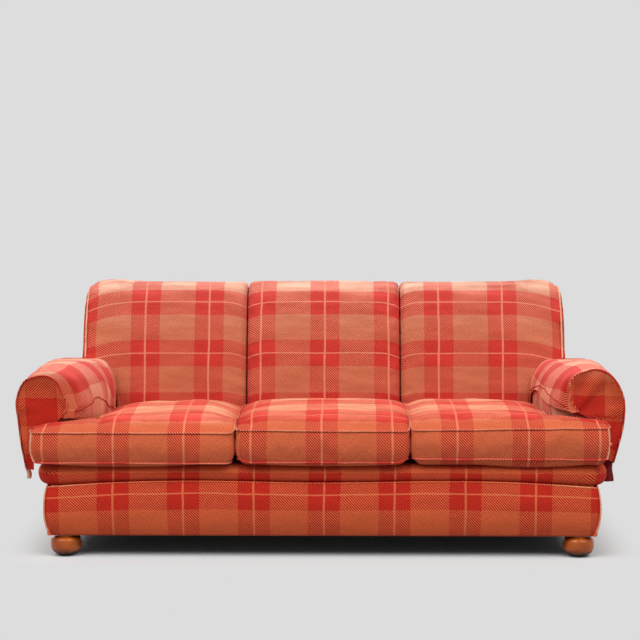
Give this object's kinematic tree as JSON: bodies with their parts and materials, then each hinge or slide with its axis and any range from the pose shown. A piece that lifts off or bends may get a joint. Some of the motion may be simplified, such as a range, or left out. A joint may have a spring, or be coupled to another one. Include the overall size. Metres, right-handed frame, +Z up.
{
  "type": "three-seat sofa",
  "caption": "Worn plaid sofa with rolled arms under loose cloth covers, boxed loose seat cushions, a sectioned stuffed back, a padded front edge and round wooden feet.",
  "frame": {"origin": "on the floor, under the middle of the sofa's bounding box", "axes": "+X to the right as seen from the front, along the seats; the front faces -Y; +Z up"},
  "size_m": [2.118, 0.88, 0.902],
  "materials": {
    "plaid_cloth": "woven twill in a red and tan check, faded on the seats",
    "cover_cloth": "the same woven check, loose and unlined, with hemmed edges",
    "frame_wood": "plain sawn beech, hidden under the upholstery",
    "webbing": "woven elastic straps, hidden",
    "foot_wood": "turned wood, stained amber brown and varnished",
    "glide": "black moulded glide, worn",
    "dust_cloth": "thin black non-woven cloth"
  },
  "bodies": {
    "root": {"front_seat_rail": "frame_wood", "back_seat_rail": "frame_wood", "back_top_rail": "frame_wood", "back_lower_rail": "frame_wood", "side_rail_left": "frame_wood", "seat_cross_rail_left": "frame_wood", "back_post_left": "frame_wood", "back_stile_left": "frame_wood", "arm_post_left": "frame_wood", "arm_top_rail_left": "frame_wood", "arm_tack_rail_left": "frame_wood", "corner_block_front_left": "frame_wood", "corner_block_rear_left": "frame_wood", "side_rail_right": "frame_wood", "seat_cross_rail_right": "frame_wood", "back_post_right": "frame_wood", "back_stile_right": "frame_wood", "arm_post_right": "frame_wood", "arm_top_rail_right": "frame_wood", "arm_tack_rail_right": "frame_wood", "corner_block_front_right": "frame_wood", "corner_block_rear_right": "frame_wood", "seat_web_left_1": "webbing", "seat_web_left_2": "webbing", "seat_web_left_3": "webbing", "seat_web_centre_1": "webbing", "seat_web_centre_2": "webbing", "seat_web_centre_3": "webbing", "seat_web_right_1": "webbing", "seat_web_right_2": "webbing", "seat_web_right_3": "webbing", "back_web_1": "webbing", "back_web_2": "webbing", "back_web_3": "webbing", "foot_front_left": "foot_wood", "foot_rear_left": "foot_wood", "foot_front_right": "foot_wood", "foot_rear_right": "foot_wood", "glide_front_left": "glide", "glide_rear_left": "glide", "glide_front_right": "glide", "glide_rear_right": "glide", "seat_platform": "plaid_cloth", "front_edge_roll": "plaid_cloth", "seat_cushion_left": "plaid_cloth", "seat_cushion_centre": "plaid_cloth", "seat_cushion_right": "plaid_cloth", "arm_left": "plaid_cloth", "arm_right": "plaid_cloth", "back_pad_left": "plaid_cloth", "back_pad_centre": "plaid_cloth", "back_pad_right": "plaid_cloth", "front_border": "plaid_cloth", "side_panel_left": "plaid_cloth", "side_panel_right": "plaid_cloth", "outside_back": "plaid_cloth", "arm_cover_left": "cover_cloth", "arm_cover_right": "cover_cloth", "dust_cover": "dust_cloth"}
  },
  "joints": []
}
